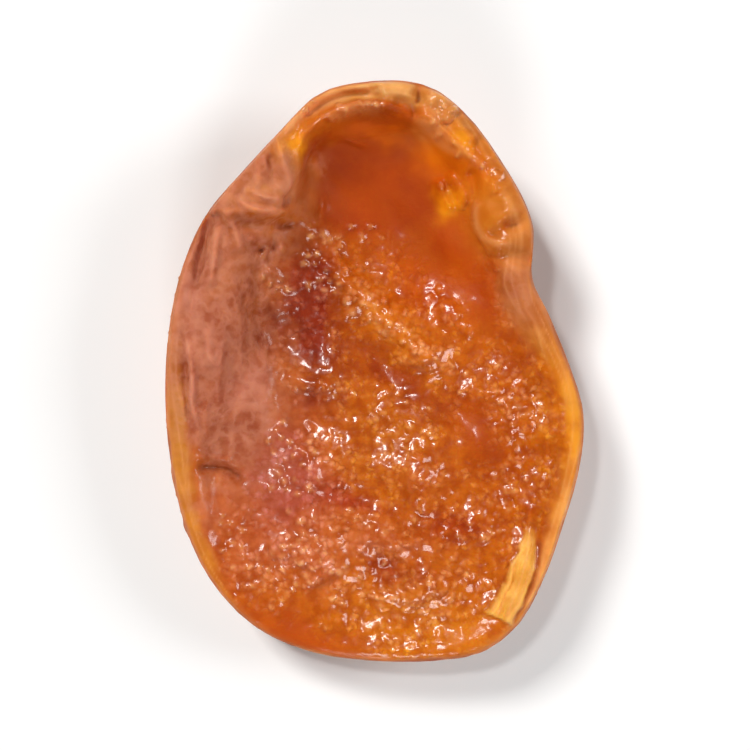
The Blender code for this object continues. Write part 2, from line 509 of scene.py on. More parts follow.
# Where the flesh is smooth and has next to no beads.
CALM = (
    Patch(0.2, 14.2, 5.4, 4.0, 2.2),
    Patch(5.2, 9.4, 2.8, 2.6, 1.0, -40),
    Patch(7.0, 4.6, 1.4, 3.0, 0.7, 25),
    Patch(6.7, -3.6, 1.3, 2.2, 0.7, 20),
    Patch(1.8, -0.2, 2.6, 0.7, 0.6, -38),
    Patch(-6.6, -18.4, 5.0, 1.4, 1.2, -14),
    Patch(6.6, 13.2, 1.6, 2.8, 1.2, 30),
    Patch(6.8, -17.8, 2.4, 1.2, 0.7, 40),
)
MATTE = (
    Patch(-10.6, 1.0, 3.2, 6.4, 2.6, 6),
    Patch(-10.0, 8.6, 3.0, 3.4, 2.2, -10),
    Patch(-8.4, 13.2, 1.9, 2.5, 2.4, 50),
    Patch(9.6, 5.6, 0.8, 2.6, 0.7, 14),
    Patch(-4.0, 14.8, 0.6, 1.0, 0.8),
    Patch(-11.4, -8.8, 1.4, 1.6, 0.7),
)
# Where the beads stand out most, and where the pink painted highlight on their tops is strongest.
LIVELY = (
    Patch(-3.0, 7.4, 1.8, 2.6, 0.7, 20),
    Patch(1.0, 4.0, 5.2, 1.2, 1.0, -42),
    Patch(6.0, 3.4, 1.8, 0.7, 0.6, -35),
    Patch(9.8, -3.0, 1.8, 3.4, 0.6, 5),
    Patch(-5.0, -6.0, 1.6, 2.6, 1.0, 10),
    Patch(-4.6, -12.0, 3.4, 2.4, 0.6),
    Patch(2.0, -14.6, 5.0, 2.6, 0.6),
)

# Where the dry rim and the folds are moist enough to glint.
GLOSSY = (
    Fold(HOOD_RIDGE, 0.5, 0.9),
    Patch(0.3, 19.5, 0.7, 0.5, 0.8),
    Patch(4.7, 18.3, 1.2, 1.1, 0.9),
    Patch(4.3, 17.0, 0.5, 0.8, 0.7),
    Fold(((4.9, 15.9), (6.8, 14.7), (8.0, 13.6)), 0.5, 0.9),
    Patch(5.4, 12.6, 0.8, 1.3, 0.9, -20),
    Patch(6.5, 10.8, 0.5, 0.6, 0.7),
    Patch(-6.9, 6.6, 1.1, 0.9, 0.7, -40),
    Patch(-8.0, 8.7, 0.5, 0.5, 0.8),
    Patch(-3.8, 10.4, 0.4, 0.7, 0.5),
)


@dataclass(frozen=True)
class Beading:
    """A stretch of flesh where moist beads crowd together along a line.

    A bead that would land nearer to another than the spacing is left out.
    """

    line: Line
    count: int
    scatter: float
    height: float = 0.16
    spacing: float = 0.52
    radii: tuple[float, float] = (0.17, 0.30)
    stretches: tuple[float, float] = (1.0, 1.5)
    turns: tuple[float, float] = (-80, 20)
    shares_of_height: tuple[float, float] = (0.6, 1.2)

    def raise_on(self, plan: np.ndarray, draw: np.random.Generator) -> np.ndarray:
        """Scatters the beads and gives their height.

        Args:
            plan: The x, y places on the half.
            draw: Where the random sizes and places come from.

        Returns:
            The height of the beads at each place, in millimetres.
        """
        corners = rounded(self.line)
        steps = np.hypot(*np.diff(corners, axis=0).T)
        walked = np.concatenate([[0.0], np.cumsum(steps)])
        along = draw.uniform(0, walked[-1], self.count)
        middles = np.column_stack([np.interp(along, walked, column) for column in corners.T])
        middles += draw.normal(0, self.scatter / 2, middles.shape)
        sizes = draw.uniform(*self.radii, self.count)
        stretches = draw.uniform(*self.stretches, self.count)
        turns = draw.uniform(*self.turns, self.count)
        heights = self.height * draw.uniform(*self.shares_of_height, self.count)
        height = np.zeros(len(plan))
        kept = np.empty((0, 2))
        for (x, y), size, stretch, turn, rise in zip(middles, sizes, stretches, turns, heights):
            if len(kept) and np.hypot(*(kept - (x, y)).T).min() < self.spacing:
                continue
            kept = np.vstack([kept, (x, y)])
            near = np.flatnonzero(np.abs(plan - (x, y)).max(axis=1) < 3 * size)
            bead = Patch(x, y, size * stretch, size, rise, turn).at(plan[near])
            height[near] = np.maximum(height[near], bead)
        return height


BEADINGS = (
    Beading(((-3.6, 9.4), (-4.2, 6.6), (-1.4, 5.4), (0.6, 4.3), (2.6, 2.0), (5.4, 0.2)), 110, 1.0, 0.19),
    Beading(((-3.4, 9.4), (-1.4, 9.9), (0.6, 10.4), (2.6, 10.2)), 16, 0.9),
    Beading(((4.2, 5.8), (5.4, 4.2), (6.6, 3.0), (7.6, 2.4)), 9, 0.6, 0.13),
    Beading(((-6.0, -0.5), (-4.4, -0.5), (-2.8, -0.8), (-1.0, -1.6)), 16, 0.5),
    Beading(((8.2, 0.6), (8.8, -1.6), (10.4, -2.4), (11.2, -1.4)), 18, 0.8),
    Beading(((9.6, -2.6), (10.4, -4.2), (10.0, -6.2), (8.8, -8.2)), 24, 1.0),
    Beading(((0.0, -1.8), (2.0, -3.4), (3.8, -5.0), (3.4, -7.2)), 34, 1.5),
    Beading(((-7.2, -4.2), (-5.2, -4.8), (-4.3, -6.2), (-5.2, -7.6), (-6.8, -6.8)), 70, 1.0, 0.19),
    Beading(((-5.7, -9.5), (-4.4, -10.6), (-5.2, -11.9), (-6.6, -12.6)), 34, 0.9, 0.18),
    Beading(((-2.6, -9.2), (-0.6, -9.9), (1.4, -10.4), (3.6, -10.6)), 24, 0.9),
    Beading(((-5.0, -14.6), (-4.2, -12.9), (-3.2, -12.4), (-2.4, -13.6)), 34, 0.9, 0.18),
    Beading(((-2.6, -15.2), (0.4, -14.8), (3.2, -14.4), (6.4, -13.8)), 80, 1.6),
    Beading(((-0.6, -17.2), (2.2, -17.6), (4.8, -16.8)), 26, 0.9),
    Beading(((-10.4, -9.8), (-10.0, -11.6), (-8.6, -13.6), (-6.2, -15.4)), 60, 1.5),
    Beading(((6.0, -9.4), (8.2, -10.6), (9.2, -8.6)), 20, 1.2),
    Beading(((-8.2, 7.2), (-7.0, 6.6), (-6.0, 6.0)), 9, 0.6),
    Beading(((-8.4, 8.9), (-7.6, 8.6)), 5, 0.4, 0.12),
    Beading(((4.8, 13.2), (5.4, 12.3), (6.3, 11.0)), 9, 0.4, 0.15),
    Beading(((-3.4, 17.3), (-1.5, 18.1), (0.6, 18.2)), 22, 0.4, 0.15),
    Beading(((-4.9, 17.8), (-4.2, 18.6)), 3, 0.2),
    Beading(((4.0, 18.6), (5.4, 18.3), (4.3, 17.0)), 26, 0.8),
    Beading(((5.4, 15.6), (6.8, 14.8), (8.1, 13.3)), 14, 0.5),
)

# Thin lines that are paler than what they cross: pale tan edges and streaks of the skin, and painted
# highlights along some ridges.
PALE_AND_HIGHLIGHT_LINES = (
    # Painted highlights along ridges: the hood's inner ridge, the crinkles of the rim at the top and upper
    # right, and the ridge by the ear.
    Fold(((-3.2, 17.3), (-1.5, 18.0), (0.7, 18.2)), 0.26, 0.5, 0.2),
    Fold(((2.5, 17.9), (3.6, 17.0), (5.0, 15.6), (6.8, 14.7), (7.8, 13.6)), 0.22, 0.45, 0.25),
    Fold(((0.2, 19.3), (1.6, 19.3), (2.6, 18.9)), 0.35, 0.6, 0.2),
    Fold(((3.6, 18.7), (5.4, 18.7)), 0.35, 0.6, 0.2),
    Fold(((7.0, 12.2), (6.9, 11.2), (7.2, 10.0), (7.9, 9.2), (9.4, 8.8)), 0.24, 0.6, 0.1),
    # Pale tan edges, loops and streaks of the skin.
    Fold(((-6.2, 16.0), (-6.0, 14.5), (-5.8, 13.1), (-6.1, 12.2)), 0.26, 0.6, 0.1),
    Fold(((-9.3, 12.2), (-8.8, 11.5), (-7.5, 11.2), (-6.0, 11.1)), 0.20, 0.5, 0.1),
    Fold(((-8.4, 12.2), (-7.2, 11.9), (-6.2, 12.1)), 0.20, 0.4, 0.1),
    Fold(((-9.9, 10.6), (-9.2, 9.4), (-9.0, 8.4)), 0.20, 0.45, 0.1),
    Fold(((-10.7, 9.8), (-10.9, 8.0), (-11.2, 6.2)), 0.22, 0.5, 0.15),
    Fold(WALL_HEM, 0.18, 0.5, 0.15),
    Fold(WALL_LOOP, 0.20, 0.3, 0.2),
    Patch(-6.4, 8.8, 0.28, 0.5, 0.6, 25),
    Fold(((13.4, -7.0), (13.0, -11.0), (12.2, -13.6), (11.2, -16.2), (10.0, -18.4)), 0.34, 0.9, 0.1),
    Fold(((11.7, -12.0), (11.2, -14.2), (10.4, -16.0)), 0.16, 0.6, 0.1),
)
# Thin lines and spots deeper than what they cross: painted shade in the creases, grooves, gaps and pits, and
# in the ear's dimple.
PAINTED_SHADE_LINES = (
    Fold(WALL_CREASE, 0.36, 0.8, 0.1),
    Fold(((-11.3, 10.4), (-11.7, 8.6), (-12.2, 6.2)), 0.26, 0.6, 0.15),
    Fold(((-12.9, 2.2), (-12.8, -1.6), (-12.4, -4.6)), 0.22, 0.6, 0.1),
    Fold(((-4.6, 15.2), (-4.7, 13.4), (-5.0, 11.6)), 0.30, 0.6, 0.1),
    Fold(((-9.2, 10.5), (-7.2, 10.35), (-4.6, 10.5)), 0.15, 0.9, 0.1),
    Fold(((11.3, -11.0), (11.1, -13.4), (10.4, -15.6), (9.0, -17.6)), 0.26, 0.9, 0.1),
    Fold(((3.0, 19.6), (3.0, 18.4)), 0.22, 0.5),
    Patch(-8.0, 8.7, 0.36, 0.30, 1.0),
    Patch(-7.1, 9.0, 0.25, 0.40, 0.7),
    Patch(9.3, 10.3, 0.60, 0.38, 0.7, 10),
    Patch(8.4, 9.6, 0.40, 0.28, 0.4),
)
SLIVER_TONE = srgb(248, 184, 84)
# Half the sliver's width from its top to its foot, in millimetres.
SLIVER_HALF_WIDTHS = (0.30, 0.55, 0.75, 0.90)
# Across and along the torn sliver, as waves to a millimetre.
SLIVER_FRAME = np.array(((1.9, 0.08), (-0.7, 0.2)))
SKIN_TONES = (srgb(150, 66, 30), srgb(190, 104, 52), srgb(212, 134, 70))

# The two strips of the rim at the lower right: how far in from the outline, and the rise there.
STRIP_PROFILE = ((0.0, 0.4, 1.0, 1.8, 2.6), (0.0, 0.40, 0.0, -0.60, 0.0))

# The swells, dents and folds of the sculpted shape. Rises are in millimetres before the relief of
# their part of the half is applied.
HOOD = (
    Fold(HOOD_RIDGE, 0.36, 0.55, 0.2),
    Fold(((-5.2, 17.0), (-3.6, 18.5), (-1.6, 19.0), (0.4, 18.9)), 0.40, -0.50, 0.1),
    Patch(-1.4, 16.2, 0.8, 0.22, 0.16, -20),
    Patch(0.2, 19.5, 0.5, 0.4, 0.35),
    Fold(((0.2, 19.0), (1.6, 19.3), (2.6, 18.8)), 0.45, 0.45, 0.2),
    Fold(((1.2, 18.5), (2.4, 18.3), (3.1, 17.6)), 0.30, -0.40, 0.1),
    Fold(((3.4, 18.4), (4.4, 18.9), (5.5, 18.6)), 0.45, 0.45, 0.2),
    Fold(((2.6, 17.6), (3.8, 17.3), (4.9, 15.9), (6.8, 14.7), (8.0, 13.6)), 0.36, 0.50, 0.25),
    Fold(((4.6, 18.0), (5.2, 17.6), (6.0, 16.4), (6.9, 15.6)), 0.40, 0.40, 0.2),
    Fold(((3.0, 20.2), (3.0, 18.2)), 0.30, -0.50),
    Fold(((6.1, 18.1), (5.0, 16.9), (4.4, 17.1)), 0.26, -0.40),
    Fold(((6.0, 15.4), (7.2, 14.6), (8.3, 13.0)), 0.30, -0.34, 0.15),
    Fold(((8.9, 13.7), (8.3, 14.7), (7.3, 15.9), (6.6, 16.8)), 0.32, 0.26),
    Fold(((8.2, 13.6), (7.9, 12.8), (8.2, 12.2)), 0.34, 0.34, 0.1),
    Fold(((5.0, 14.0), (5.8, 12.8), (6.4, 11.5)), 0.42, 0.60, 0.1),
    Fold(((4.4, 13.8), (4.6, 12.5), (5.4, 11.2)), 0.36, 0.45, 0.1),
    Fold(((6.5, 14.1), (7.0, 12.8), (6.8, 11.6)), 0.36, -0.45),
    Fold(((7.1, 12.4), (6.9, 11.2), (7.3, 10.0), (8.0, 9.1), (9.4, 8.7)), 0.34, 0.45, 0.1),
)
EAR = (
    Patch(9.0, 10.8, 1.7, 1.7, 0.60),
    Patch(9.3, 10.2, 0.75, 0.45, -0.75, 10),
    Patch(8.3, 9.7, 0.45, 0.35, -0.40),
    Patch(8.2, 11.6, 0.5, 0.8, -0.35, 30),
    Patch(10.0, 8.0, 1.6, 0.5, -0.60, -10),
)
HOLLOW = Patch(0.2, 13.6, 4.6, 3.6, -0.5)
LOBE_EDGE = ((-3.6, 17.6), (-4.9, 15.4), (-5.0, 12.6), (-5.6, 10.9), (-8.6, 10.6), (-10.6, 10.9))
WALL_DETAILS = (
    Patch(-5.3, 15.7, 0.55, 0.8, -0.32),
    Patch(-4.0, 14.8, 0.45, 0.8, 0.30),
    Patch(-3.7, 11.4, 0.25, 0.9, 0.25),
    Patch(-8.0, 8.7, 0.42, 0.36, -0.55),
    Patch(-8.3, 9.2, 0.30, 0.22, 0.20),
    Patch(-7.6, 8.6, 0.25, 0.30, 0.20),
    Patch(-7.1, 9.0, 0.30, 0.45, -0.34),
    Patch(-6.4, 8.8, 0.30, 0.55, 0.32, 25),
    Patch(-7.1, 7.1, 0.8, 0.35, 0.28, -40),
    Patch(-10.8, -8.8, 1.6, 1.5, 0.30),
)
WALL_FOLDS = (
    Fold(((-6.6, 16.4), (-6.2, 14.5), (-5.8, 13.1), (-6.1, 12.0)), 0.34, 0.42, 0.1),
    Fold(((-7.0, 14.9), (-6.8, 13.6), (-6.9, 12.6)), 0.34, -0.34, 0.1),
    Fold(((-8.1, 14.6), (-7.6, 13.4), (-8.2, 12.4)), 0.36, 0.26, 0.1),
    Fold(((-8.8, 12.6), (-7.4, 11.9), (-6.2, 12.1)), 0.30, 0.30, 0.1),
    Fold(((-9.3, 12.2), (-8.8, 11.4), (-7.5, 11.1), (-5.6, 11.3)), 0.30, 0.40, 0.1),
    Fold(((-9.4, 10.2), (-7.4, 10.3), (-5.4, 10.4)), 0.26, -0.32, 0.1),
    Fold(((-10.1, 11.2), (-9.3, 9.6), (-9.0, 8.2)), 0.30, 0.34, 0.1),
    Fold(((-10.6, 10.4), (-10.8, 8.0), (-11.2, 5.8)), 0.28, 0.36, 0.15),
    Fold(((-11.2, 11.0), (-11.7, 8.6), (-12.3, 5.8)), 0.34, -0.50, 0.15),
    Fold(WALL_CREASE, 0.30, -0.60, 0.1),
    Fold(((-12.4, -5.7), (-10.9, -5.7), (-9.6, -6.0)), 0.28, 0.18, 0.1),
    Fold(WALL_HEM, 0.24, 0.24, 0.15),
    Fold(((-12.9, 1.4), (-12.9, -1.6), (-12.7, -3.6)), 0.24, -0.26, 0.1),
    Fold(WALL_LOOP, 0.24, 0.16, 0.2),
    Fold(((-11.3, -1.6), (-11.6, -3.4), (-11.0, -4.6)), 0.24, 0.16, 0.2),
    Fold(((-9.0, 6.4), (-8.2, 5.0), (-8.4, 3.2)), 0.30, 0.16, 0.3),
)
BED_SWELLS = (
    Fold(((-4.0, 9.0), (-2.4, 7.2), (-1.2, 5.6), (0.6, 4.4), (2.4, 2.2), (5.2, 0.4)), 0.9, 0.50, 0.5),
    Fold(((4.8, 5.2), (5.6, 3.8), (7.2, 2.6)), 0.6, 0.16, 0.3),
    Fold(((5.6, -0.6), (8.2, -1.2), (10.2, -2.6), (10.4, -5.4)), 0.9, 0.28, 0.5),
    Fold(((-6.4, 0.2), (-4.6, -0.6), (-2.6, -0.8)), 0.6, 0.28, 0.3),
    Fold(((-7.8, -4.6), (-6.4, -4.4), (-4.6, -5.2), (-4.4, -7.0), (-5.6, -9.6)), 0.9, 0.36, 0.5),
    Fold(((-7.2, -12.4), (-5.8, -11.8), (-4.2, -12.6), (-3.2, -14.6)), 0.8, 0.42, 0.4),
    Fold(((-1.4, -11.0), (0.6, -11.8), (3.2, -11.2), (5.0, -12.0)), 0.8, 0.34, 0.5),
    Fold(((-0.6, -15.6), (2.0, -15.4), (4.4, -14.4), (7.0, -14.4)), 0.9, 0.34, 0.5),
    Fold(((2.6, -5.0), (3.6, -7.6), (2.6, -9.6)), 0.8, 0.24, 0.5),
    Patch(4.6, 6.8, 2.6, 1.7, -0.40, -50),
    Patch(7.6, 2.8, 2.4, 1.0, -0.25, -45),
    Patch(6.2, -3.0, 2.4, 1.3, -0.35, -40),
    Patch(-7.0, 3.6, 1.5, 4.2, -0.35, 8),
    Patch(-1.4, -8.4, 1.6, 0.9, -0.35, -20),
    Patch(1.2, -13.8, 1.6, 0.9, -0.30, -10),
    Patch(-0.4, 1.4, 2.4, 1.0, -0.25, -40),
)


@dataclass
class DriedHalf:
    """The dried apricot half: its sculpted shape and the marks that its material follows.

    Sizes are in millimetres. A relief multiplies every rise of its part of the half, and the drift
    is how far the borders between kinds of surface wander.
    """

    blank: bpy.types.Mesh
    low: Vector
    high: Vector

    sectors: int = 180
    edge_rise: float = 0.16
    groove_depth: float = 0.30
    hood_relief: float = 1.3
    wall_relief: float = 1.5
    bed_relief: float = 1.7
    skin_fold_depth: float = 0.44
    skin_wrinkle_depth: float = 0.26
    thread_height: float = 0.06
    sway: float = 0.26
    fine_sway: float = 0.07
    coarse_bead: float = 0.72
    coarse_bead_height: float = 0.11
    fine_bead: float = 0.44
    fine_bead_height: float = 0.06
    flange_line: float = 0.46
    flange_line_height: float = 0.06
    drift: float = 0.8
    bead_seed: int = 11
    sliver_top: tuple[float, float] = (10.75, -10.6)
    sliver_foot: tuple[float, float] = (8.55, -16.7)

    places: np.ndarray = field(init=False)
    normals: np.ndarray = field(init=False)
    plan: np.ndarray = field(init=False)
    angle: np.ndarray = field(init=False)
    degrees: np.ndarray = field(init=False)
    inset: np.ndarray = field(init=False)
    outside: np.ndarray = field(init=False)
    face: np.ndarray = field(init=False)
    tone: np.ndarray = field(init=False)
    marks: dict[Mark, np.ndarray] = field(init=False, default_factory=dict)

    def __post_init__(self) -> None:
        """Reads the blank."""
        self._read()

    def _read(self) -> None:
        """Takes the places and normals from the mesh."""
        count = len(self.blank.vertices)
        self.places = np.empty(count * 3)
        self.blank.vertices.foreach_get("co", self.places)
        self.places = self.places.reshape(-1, 3)
        self.normals = np.empty(count * 3, np.float32)
        self.blank.vertex_normals.foreach_get("vector", self.normals)
        self.normals = self.normals.reshape(-1, 3).astype(float)

    def _write(self) -> None:
        """Puts the places in the mesh and takes the new normals."""
        self.blank.vertices.foreach_set("co", self.places.astype(np.float32).ravel())
        self.blank.update()
        self._read()

    def _push(self, distance: np.ndarray) -> None:
        """Moves each place along its normal."""
        self.places = self.places + self.normals * distance[:, None]

    def _raise(self, distance: np.ndarray) -> None:
        """Moves each place straight up, which keeps the outline."""
        self.places[:, 2] += distance

    def _survey(self) -> None:
        """Works out where each place lies: its angle, how far in from the outline, on which side."""
        plan = self.places[:, :2]
        self.plan = plan.copy()
        self.angle = np.arctan2(plan[:, 1], plan[:, 0])
        reach = np.hypot(*plan.T)
        sector = ((self.angle / math.tau) % 1.0 * self.sectors).astype(int) % self.sectors
        outline = np.zeros(self.sectors)
        np.maximum.at(outline, sector, reach)
        middle = (np.arange(self.sectors) + 0.5) / self.sectors * math.tau
        wrapped = np.concatenate([outline[-2:], outline, outline[:2]])
        outline = np.convolve(wrapped, (0.1, 0.2, 0.4, 0.2, 0.1), "valid")
        here = self.angle % math.tau
        radius = np.interp(here, middle, outline, period=math.tau)
        slope = np.interp(here, middle, np.gradient(outline, math.tau / self.sectors), period=math.tau)
        self.inset = (radius - reach) * np.cos(np.arctan(slope / radius))
        outward = self.normals[:, 0] * np.cos(self.angle) + self.normals[:, 1] * np.sin(self.angle)
        self.outside = smoothstep(0.0, 0.6, outward - 0.7 * self.normals[:, 2])
        self.face = 1 - self.outside
        self.degrees = np.degrees(here)

    def _around(self, radius: float, third: np.ndarray) -> np.ndarray:
        """Each place moved out to a ring of this radius, with the third number for its height."""
        return np.column_stack([np.cos(self.angle) * radius, np.sin(self.angle) * radius, third])

    def _sector(self, start: float, end: float, soft: float) -> np.ndarray:
        """Marks a stretch of the way round the half. The stretch may pass through 0 degrees.

        Args:
            start: Where the stretch starts, in degrees.
            end: Where it ends, anticlockwise from its start.
            soft: Over how many degrees its ends fade, to either side.

        Returns:
            1 inside the stretch and 0 outside it, for each place.
        """
        half = ((end - start) % 360) / 2
        middle = start + half
        away = np.abs((self.degrees - middle + 180) % 360 - 180)
        return smoothstep(half + soft, half - soft, away)

    def make(self) -> bpy.types.Object:
        """Sculpts the blank and marks its regions.

        Returns:
            The finished piece, in metres, without its material.
        """
        self._survey()
        self.shape_rim()
        self.shape_hood()
        self.shape_left_wall()
        self.shape_right_side()
        self.shape_bed()
        self.shape_skin()
        self._write()
        self.mark_regions()
        self.grain_flesh()
        self.wrinkle_surfaces()
        self._write()
        return self._finished()

    def _rim(self, part: str) -> np.ndarray:
        """Reads one of the rim's sizes from the stations round it.

        Args:
            part: The name of the size in a station.

        Returns:
            The size at each place.
        """
        degrees = [station.degrees for station in RIM]
        values = [getattr(station, part) for station in RIM]
        return np.interp(self.degrees, degrees, values, period=360)

    def shape_rim(self) -> None:
        """The curled rim: a thin proud edge, a shallow groove inside it and uneven thickness."""
        edge = np.exp(-(((self.inset - 0.28) / 0.26) ** 2)) * self._rim("edge")
        groove = np.exp(-(((self.inset - 1.0) / 0.40) ** 2)) * self._rim("groove")
        around = self._around(9, self.inset)
        uneven = 0.5 + ripple(around, (0.35, 0.35, 0.2), 5.2)
        lift = self.edge_rise * edge - self.groove_depth * groove * (0.5 + uneven)
        sway = self.sway * ripple(around, (0.30, 0.30, 0.25), 9.4)
        sway += self.fine_sway * ripple(around, (0.8, 0.8, 0.3), 2.6)
        near_rim = smoothstep(3.6, 0.8, self.inset)
        self._raise((lift + sway * near_rim) * self.face)

    def shape_hood(self) -> None:
        """The raised hood with its inner ridge, the crinkled corner and the ear."""
        lift = total(HOOD, self.plan) + total(EAR, self.plan) + HOLLOW.at(self.plan)
        corner = self._sector(52, 84, 8) * smoothstep(3.0, 1.2, self.inset)
        crinkles = ridges(self.places, (1.1, 1.1, 0.6), 3.3) - 0.4
        self._raise((self.hood_relief * lift + 0.20 * crinkles * corner) * self.face)

    def shape_left_wall(self) -> None:
        """The folded lobe at the upper left, the broad matte wall with its wavy wrinkles, the crease."""
        away, side, _ = from_line(self.plan, rounded(LOBE_EDGE))
        stretch = self._sector(106, 142, 4)
        within = smoothstep(-0.15, 0.35, -side * away) * stretch
        lobe = (0.60 * within + 0.30 * np.exp(-((away / 0.4) ** 2))) * stretch
        wall = self._sector(146, 206, 7) * smoothstep(0.6, 1.4, self.inset) * smoothstep(7.4, 5.4, self.inset)
        wrinkles = ridges(self.places, (0.62, 0.20, 0.4), 7.7) - 0.35
        lift = lobe + total(WALL_DETAILS, self.plan) + total(WALL_FOLDS, self.plan)
        lift = lift + 0.20 * wrinkles * wall
        self._raise(self.wall_relief * lift * self.face)

    def shape_right_side(self) -> None:
        """The rim on the right: fine parallel edges, a smooth flange, then two strips and a torn sliver."""
        edges = self._sector(4, 32, 5)
        waver = 0.25 * ripple(self.places, 0.5, 8.8)
        lines = np.cos(math.tau * (self.inset / self.flange_line + waver))
        lift = self.flange_line_height * lines * edges * smoothstep(1.9, 1.4, self.inset)
        strips = self._sector(300, 338, 5)
        lift += np.interp(self.inset, *STRIP_PROFILE) * strips
        sliver, height = self._sliver()
        lift += height
        self.marks[Mark.SLIVER] = sliver * self.face
        self._raise(lift * self.face)

    def _sliver(self) -> tuple[np.ndarray, np.ndarray]:
        """The torn sliver at the lower right: it widens downwards and ends square.

        Returns:
            Its share, 0 to 1, and its height over the flesh in millimetres.
        """
        top, foot = np.array(self.sliver_top), np.array(self.sliver_foot)
        run = foot - top
        length = math.hypot(*run)
        away = self.plan - top
        along = away @ run / length
        bow = 0.45 * np.sin(math.pi * np.clip(along / length, 0, 1))
        level = flat(self.plan)
        ragged = 0.30 * ripple(level, 0.7, 4.9) + 0.10 * ripple(level, 2.0, 8.3)
        across = away @ np.array((-run[1], run[0])) / length - bow + ragged
        half_width = np.interp(along, (0.0, 2.0, 4.0, length), SLIVER_HALF_WIDTHS)
        ends = smoothstep(-0.6, 1.4, along) * smoothstep(length + 0.14, length - 0.10, along + 1.2 * ragged)
        share = smoothstep(half_width + 0.14, half_width - 0.14, np.abs(across)) * ends
        fibres = 0.10 * np.cos(math.tau * across / 0.55)
        return share, share * (np.interp(along, (0.0, 3.0, length), (0.15, 0.40, 0.62)) + fibres)

    def shape_bed(self) -> None:
        """The bed of flesh: a chain of small ridges across it, soft valleys and a pillowed lower half."""
        flesh = smoothstep(1.2, 3.2, self.inset) * self.face
        slant = np.column_stack([
            0.77 * self.places[:, 0] + 0.64 * self.places[:, 1],
            0.5 * (0.77 * self.places[:, 1] - 0.64 * self.places[:, 0]),
            self.places[:, 2],
        ])
        lumps = 0.5 * cloud(self.places, 0.16, 4.4, 2) + 0.42 * ripple(slant, 0.42, 7.1)
        self._push((self.bed_relief * total(BED_SWELLS, self.plan) + lumps) * flesh)

    def shape_skin(self) -> None:
        """The skin side: long folds that run down from under the rim and shrink towards the foot."""
        around = self._around(11, self.places[:, 2])
        clear = smoothstep(0.12, 1.2, self.places[:, 2]) * smoothstep(0.05, -0.45, self.normals[:, 2])
        folds = ridges(around, (0.20, 0.20, 0.10), 6.1) + 0.6 * ridges(around, (0.50, 0.50, 0.24), 1.9) - 0.9
        self._push(self.skin_fold_depth * folds * self.outside * clear)

    def mark_regions(self) -> None:
        """Marks which kind of surface each place belongs to, as shares from 0 to 1, and its tone."""
        drift = [self.drift * cloud(self.places, 0.45, seed) for seed in (12.0, 31.0)]
        plan = self.plan + np.column_stack(drift)
        width = self._rim("band")
        rim = smoothstep(width + 0.40, width - 0.40, self.inset + 0.35 * drift[0]) * self.face
        self.marks[Mark.CALM] = np.clip(total(CALM, plan), 0, 1) * self.face
        self.marks[Mark.MATTE] = np.clip(total(MATTE, plan), 0, 1) * self.face
        self.marks[Mark.RIM] = np.maximum(rim, self.marks[Mark.SLIVER])
        self.marks[Mark.SKIN] = self.outside
        self.tone = np.tile(np.array(GROUND), (len(plan), 1))
        for patch, colour in TONES:
            self._stain(np.clip(patch.at(plan), 0, 1), np.array(colour))
        degrees = [station.degrees for station in RIM]
        shades = np.array([station.colour for station in RIM])
        around = [np.interp(self.degrees, degrees, shade, period=360) for shade in shades.T]
        self._stain(rim, np.column_stack(around))
        self._stain(self.marks[Mark.SLIVER], np.array(SLIVER_TONE))
        self._stain(self.outside, self._skin_tone())

    def _stain(self, share: np.ndarray, colour: np.ndarray) -> None:
        """Lays a colour over the tone."""
        self.tone += share[:, None] * (colour - self.tone)

    def _skin_tone(self) -> np.ndarray:
        """Mixes the skin's own colour, reddish in patches and paler over its folds.

        Returns:
            A linear colour for each place.
        """
        deep, middle, light = (np.array(tone) for tone in SKIN_TONES)
        patches = np.clip(0.5 + 0.9 * cloud(self.places, 0.16, 3.7), 0, 1)[:, None]
        folds = np.clip(0.35 + 0.8 * cloud(self.places, 0.5, 14.2, 2), 0, 1)[:, None]
        return middle + 0.7 * patches * (deep - middle) + 0.6 * folds * (light - middle)

    def grain_flesh(self) -> None:
        """The small beads of the wet flesh, which catch the light, and the uneven ground below them."""
        marks = self.marks
        dry = np.maximum(marks[Mark.RIM], marks[Mark.MATTE])
        wet = np.clip(1 - dry, 0, 1) * self.face * smoothstep(0.1, 0.7, self.inset)
        strength = wet * np.clip(1 - marks[Mark.CALM], 0, 1)
        chosen = np.flatnonzero(strength > 0.02)
        spots = self.places[chosen]
        spots = spots + 0.22 * np.column_stack([ripple(spots, 1.1, seed) for seed in (1.0, 21.0, 41.0)])
        lively = 0.70 + total(LIVELY, self.plan[chosen]) + 0.7 * ripple(spots, 0.9, 2.2)
        coarse = bead_heights(spots * (1.0, 1.0, 0.5), self.coarse_bead, 3.0)
        fine = bead_heights(spots * (1.0, 1.0, 0.5), self.fine_bead, 8.0)
        pebbles = self.coarse_bead_height * coarse + self.fine_bead_height * fine - self.fine_bead_height
        ground = 0.16 * ripple(spots, 0.42, 6.3) + 0.05 * ripple(spots, 1.0, 16.3)
        grain = np.zeros(len(self.places))
        grain[chosen] = np.clip(lively, 0.1, 1.6) * pebbles + ground
        tops = np.zeros(len(self.places))
        tops[chosen] = coarse * np.clip(lively, 0, 1)
        glossy = np.clip(total(GLOSSY, self.plan), 0, 1) * self.face
        marks[Mark.WET] = np.maximum(strength, glossy)
        # Where the pink painted highlight goes on the bead tops, and how strong it is.
        marks[Mark.BEAD_TOP_HIGHLIGHT] = tops * strength
        marks[Mark.BLUSH_PAINTED_HIGHLIGHT] = np.clip(0.35 + total(LIVELY, self.plan), 0, 1) * self.face
        draw = np.random.default_rng(self.bead_seed)
        moist = np.max([beading.raise_on(self.plan, draw) for beading in BEADINGS], axis=0) * self.face
        # The moist beads' tops take the pink painted highlight too.
        marks[Mark.BEAD_TOP_HIGHLIGHT] = np.clip(marks[Mark.BEAD_TOP_HIGHLIGHT] + 5 * moist, 0, 1)
        marks[Mark.WET] = np.maximum(marks[Mark.WET], smoothstep(0.02, 0.08, moist))
